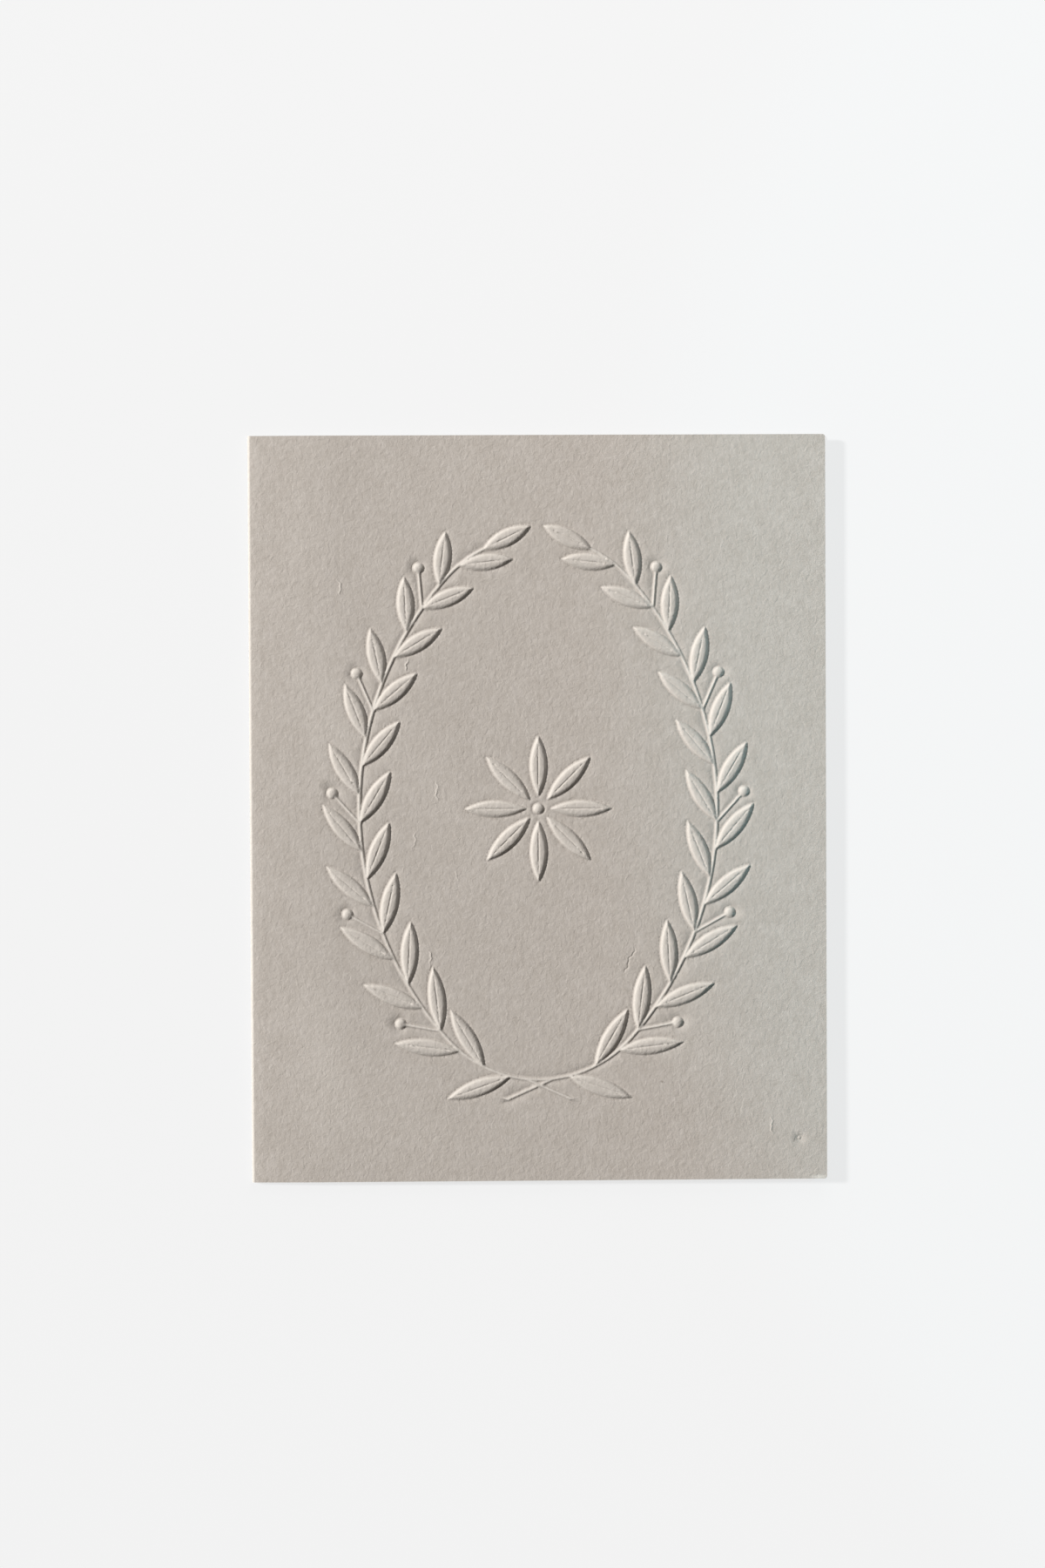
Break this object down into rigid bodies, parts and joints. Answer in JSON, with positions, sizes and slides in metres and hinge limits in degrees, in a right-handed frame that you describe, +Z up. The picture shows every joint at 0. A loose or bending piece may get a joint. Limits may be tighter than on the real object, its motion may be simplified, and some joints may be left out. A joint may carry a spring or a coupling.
{
  "type": "greeting card",
  "caption": "Folded greeting card of heavy uncoated stock, lying closed with its fold at the left, its front leaf blind-embossed with an oval leaf garland around a daisy",
  "frame": {"origin": "middle of the underside of the card's outline, on the surface that it lies on", "axes": "+Z up out of the front leaf, +X from the fold to the free edge, +Y from the foot of the card to its head"},
  "size_m": [0.108, 0.1396, 0.0031],
  "materials": {
    "cover_stock": "matte, uncoated and dyed through"
  },
  "bodies": {
    "root": {"card": "cover_stock"}
  },
  "joints": []
}
